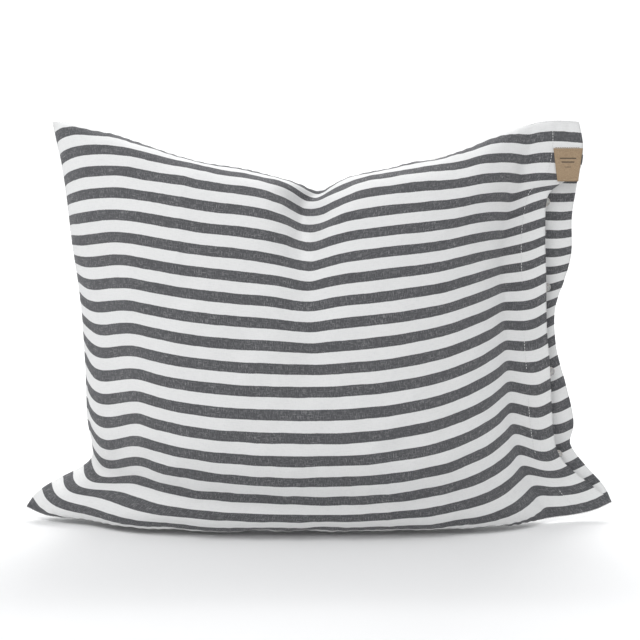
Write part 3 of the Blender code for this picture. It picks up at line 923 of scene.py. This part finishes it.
# %% Cushion from the case
CUSHION_LEFT, CUSHION_RIGHT = 0.035, 0.865
CUSHION_LOW, CUSHION_HIGH = 0.035, 0.965
TICKING_GAP, TICKING = 0.0035, 0.0005
FILLING_GAP = 0.0055
inside_columns = np.flatnonzero((across > CUSHION_LEFT) & (across < CUSHION_RIGHT))
inside_rows = np.flatnonzero((up > CUSHION_LOW) & (up < CUSHION_HIGH))
front_inside = front_grid[np.ix_(inside_columns, inside_rows)]
back_inside = back_grid[np.ix_(inside_columns, inside_rows)]
middle = 0.5 * (front_inside + back_inside)


def drawn_back(panel_points, gap):
    """Points between the middle of the case and a panel, a gap away from the panel."""
    away = panel_points - middle
    far = np.linalg.norm(away, axis=2, keepdims=True)
    a = np.linspace(-1.0, 1.0, len(inside_columns))[:, None, None]
    b = np.linspace(-1.0, 1.0, len(inside_rows))[None, :, None]
    rounded = np.sqrt(np.maximum(0.0, (1.0 - a ** 6) * (1.0 - b ** 6)))
    return middle + away / np.maximum(far, 1e-6) * np.maximum(far - gap, 0.0) * rounded


def cushion_sheet(name, points, flip, thick):
    ids = np.arange(points.shape[0] * points.shape[1]).reshape(points.shape[:2])
    mesh = bpy.data.meshes.new(name)
    mesh.from_pydata(points.reshape(-1, 3).tolist(), [], quads(ids, flip))
    mesh.shade_smooth()
    made = link(bpy.data.objects.new(name, mesh))
    thickness = made.modifiers.new("thickness", "SOLIDIFY")
    thickness.thickness = thick
    thickness.offset = -1.0
    apply_modifiers(made)
    return made


ticking_parts = []
for name, panel_points, flip in (("ticking_front", front_inside, False),
                                 ("ticking_back", back_inside, True)):
    half = cushion_sheet(name + "_cloth", drawn_back(panel_points, TICKING_GAP), flip, TICKING)
    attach(half, "pillow")
    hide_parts(name)
    ticking_parts.append(half)

# %% Filling and piping
front_fill = drawn_back(front_inside, FILLING_GAP)
back_fill = drawn_back(back_inside, FILLING_GAP)
shape = front_fill.shape[:2]
ids = np.arange(shape[0] * shape[1]).reshape(shape)
free = np.zeros(shape, dtype=bool)
free[1:-1, 1:-1] = True
back_numbers = ids.copy()
back_numbers[free] = ids.size + np.arange(free.sum())
fill_mesh = bpy.data.meshes.new("filling_fibre")
fill_mesh.from_pydata(np.vstack([front_fill.reshape(-1, 3), back_fill[free]]).tolist(), [],
                      quads(ids, False) + quads(back_numbers, True))
fill_mesh.shade_smooth()
filling = link(bpy.data.objects.new("filling_fibre", fill_mesh))
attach(filling, "pillow")
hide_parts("filling")

rim = np.vstack([middle[:, 0], middle[-1, 1:], middle[-2::-1, -1], middle[0, -2:0:-1]])
piping_data = bpy.data.curves.new("piping_cord", "CURVE")
piping_data.dimensions = "3D"
piping_data.bevel_depth = 0.0016
piping_data.bevel_resolution = 2
spline = piping_data.splines.new("POLY")
spline.points.add(len(rim) - 1)
spline.points.foreach_set("co", np.column_stack([rim, np.ones(len(rim))]).ravel())
spline.use_cyclic_u = True
piping_curve = bpy.data.objects.new("piping_curve", piping_data)
piping = link(bpy.data.objects.new("piping_cord", bpy.data.meshes.new_from_object(piping_curve)))
bpy.data.objects.remove(piping_curve)
piping.data.shade_smooth()
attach(piping, "pillow")
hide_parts("ticking_piping")


# %% Cotton and fibre finishes
def woven_cotton():
    g = Graph("ticking_cotton")
    place = g.object_place()
    g.bump(g.noise(place, 1500.0, 3.0), 0.0002, 0.6)
    g.set(Base_Color=g.mix(g.step(g.noise(place, 40.0, 4.0), 0.3, 0.7), (0.80, 0.79, 0.76),
                           (0.72, 0.71, 0.68)), Roughness=0.85, Sheen_Weight=0.1)
    return g.material


def soft_fibre():
    g = Graph("filling_fibre")
    place = g.object_place()
    wisps = g.noise(place, 90.0, 8.0, 0.75)
    g.bump(wisps, 0.004, 0.9)
    g.set(Base_Color=g.mix(g.step(wisps, 0.35, 0.7), (0.74, 0.74, 0.73), (0.88, 0.88, 0.87)),
          Roughness=0.95, Sheen_Weight=0.4, Sheen_Roughness=0.7)
    return g.material


cotton, fibre = woven_cotton(), soft_fibre()
for thing, material in ((ticking_parts[0], cotton), (ticking_parts[1], cotton),
                        (piping, cotton), (filling, fibre)):
    thing.data.materials.clear()
    thing.data.materials.append(material)

# %% [markdown]
# ## Buttons
# The buttons are small discs of a pearly resin with a sunk middle and four holes. The
# plain model already has that form, so its meshes stay and only get a finish: faint
# clouds of cream and silver under a clear, slightly rough gloss.


# %% Pearl finish
def pearl():
    g = Graph("button_pearl")
    place = g.object_place()
    clouds = g.noise(place, 420.0, 3.0, 0.6)
    g.set(Base_Color=g.mix(g.step(clouds, 0.35, 0.68), (0.66, 0.63, 0.58), (0.44, 0.44, 0.46)),
          Roughness=0.22, Coat_Weight=0.6, Coat_Roughness=0.12, Specular_IOR_Level=0.6,
          Subsurface_Weight=0.08, Subsurface_Scale=0.002)
    return g.material


pearl_material = pearl()
for name in BUTTONS:
    for node, material in ((name, pearl_material), (name + "_thread", white_thread)):
        mesh = frame["nodes"][node].data
        mesh.materials.clear()
        mesh.materials.append(material)

# %% [markdown]
# ## The kraft label
# A blank tag of washable kraft paper is sewn to the hem along its top edge, so it can be
# lifted like a flap. It is wider at the top. A real tag curls a little, so ours does too.
# Plain printed rules decorate it, and a row of stitches runs near its head and its foot.

# %% Label tag
LABEL_TOP = label_high[2]
LABEL_WIDE = label_high[0] - label_low[0]
LABEL_TALL = label_high[2] - label_low[2]
LABEL_TAPER = 0.005
LABEL_THICK = 0.0006
LABEL_CURL = 0.0012
label_hinge = next(joint for joint in frame["joints"] if joint["name"] == "label_fold")
print("label hinge:", label_hinge)


def label_point(s, t):
    """s runs across from -1 to 1, t down from 0 to 1. The tag curls away at its foot."""
    half = 0.5 * LABEL_WIDE - LABEL_TAPER * t
    curl = LABEL_CURL * t ** 2.2 + 0.0006 * t * (s * s)
    return (label_middle[0] + s * half, label_low[1] - curl, LABEL_TOP - LABEL_TALL * t)


def label_mesh(columns=16, rows=18):
    s_steps, t_steps = np.linspace(-1, 1, columns + 1), np.linspace(0, 1, rows + 1)
    points = [label_point(s, t) for s in s_steps for t in t_steps[::-1]]
    ids = np.arange(len(points)).reshape(columns + 1, rows + 1)
    mesh = bpy.data.meshes.new("kraft_label")
    mesh.from_pydata(points, [], quads(ids, False))
    uv = mesh.uv_layers.new(name="tag")
    flat = [(0.5 * s * LABEL_WIDE, LABEL_TALL * (1 - t)) for s in s_steps for t in t_steps[::-1]]
    for corner in mesh.loops:
        uv.data[corner.index].uv = flat[corner.vertex_index]
    mesh.shade_smooth()
    return mesh


kraft = link(bpy.data.objects.new("kraft_label", label_mesh()))
thickness = kraft.modifiers.new("thickness", "SOLIDIFY")
thickness.thickness = LABEL_THICK
thickness.offset = -1.0
apply_modifiers(kraft)
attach(kraft, "label_flap")
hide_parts("label")


# %% Kraft finish with plain rules
RULES = ((0.0265, 0.0007, 0.0105), (0.0222, 0.0007, 0.0085), (0.0165, 0.0003, 0.0045))


def kraft_paper():
    g = Graph("kraft_paper")
    u, v = g.flat_place("tag")
    ink = None
    for height, half_thick, half_long in RULES:
        off_rule = g.math("ABSOLUTE", g.math("SUBTRACT", v, height))
        above = g.step(off_rule, half_thick + 0.0001, half_thick)
        inside = g.step(g.math("ABSOLUTE", u), half_long + 0.0001, half_long)
        bar = g.math("MULTIPLY", above, inside)
        ink = bar if ink is None else g.math("MAXIMUM", ink, bar)
    place = g.object_place()
    fibres = g.noise(place, 700.0, 5.0, 0.7)
    paper = g.mix(g.step(fibres, 0.3, 0.75), (0.42, 0.31, 0.20), (0.30, 0.21, 0.13))
    ink = g.math("MULTIPLY", ink, 0.8)
    g.bump(g.noise(place, 260.0, 5.0, 0.6), 0.0004, 0.5)
    g.set(Base_Color=g.mix(ink, paper, (0.05, 0.04, 0.035)), Roughness=0.75,
          Specular_IOR_Level=0.3)
    return g.material


kraft.data.materials.clear()
kraft.data.materials.append(kraft_paper())

# %% Label stitches
bm = bmesh.new()
label_surface = surface_of(kraft)
foot = np.array([label_point(s, 0.88) for s in np.linspace(-0.90, 0.90, 30)])
head = np.array([label_point(s, 0.07) for s in np.linspace(-0.92, 0.92, 30)])
for line in (head, foot):
    sew(bm, line - np.array([0.0, 0.001, 0.0]), label_surface, 0.0028, 0.66, 0.00022)
finished(bm, "label_face_stitches", "label_flap", "thread", tan_thread)

bm = bmesh.new()
thread_low, thread_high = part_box("label_thread")
thread_z = 0.5 * (thread_low[2] + thread_high[2])
thread_steps = np.linspace(thread_low[0], thread_high[0], 30)
line = np.array([(x, thread_low[1], thread_z) for x in thread_steps])
sew(bm, line, front_surface, 0.0026, 0.68, 0.00030)
finished(bm, "label_top_stitches", "pillow", "thread", tan_thread, "label_thread")

# %% [markdown]
# ## Print the size and close
# The dressed pillow must stay about as large as the plain model. We print both boxes.

# %% Size
dressed_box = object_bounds()
for name, box in (("plain", cad_box), ("dressed", dressed_box)):
    print(name, [round(float(value), 4) for corner in box for value in corner])
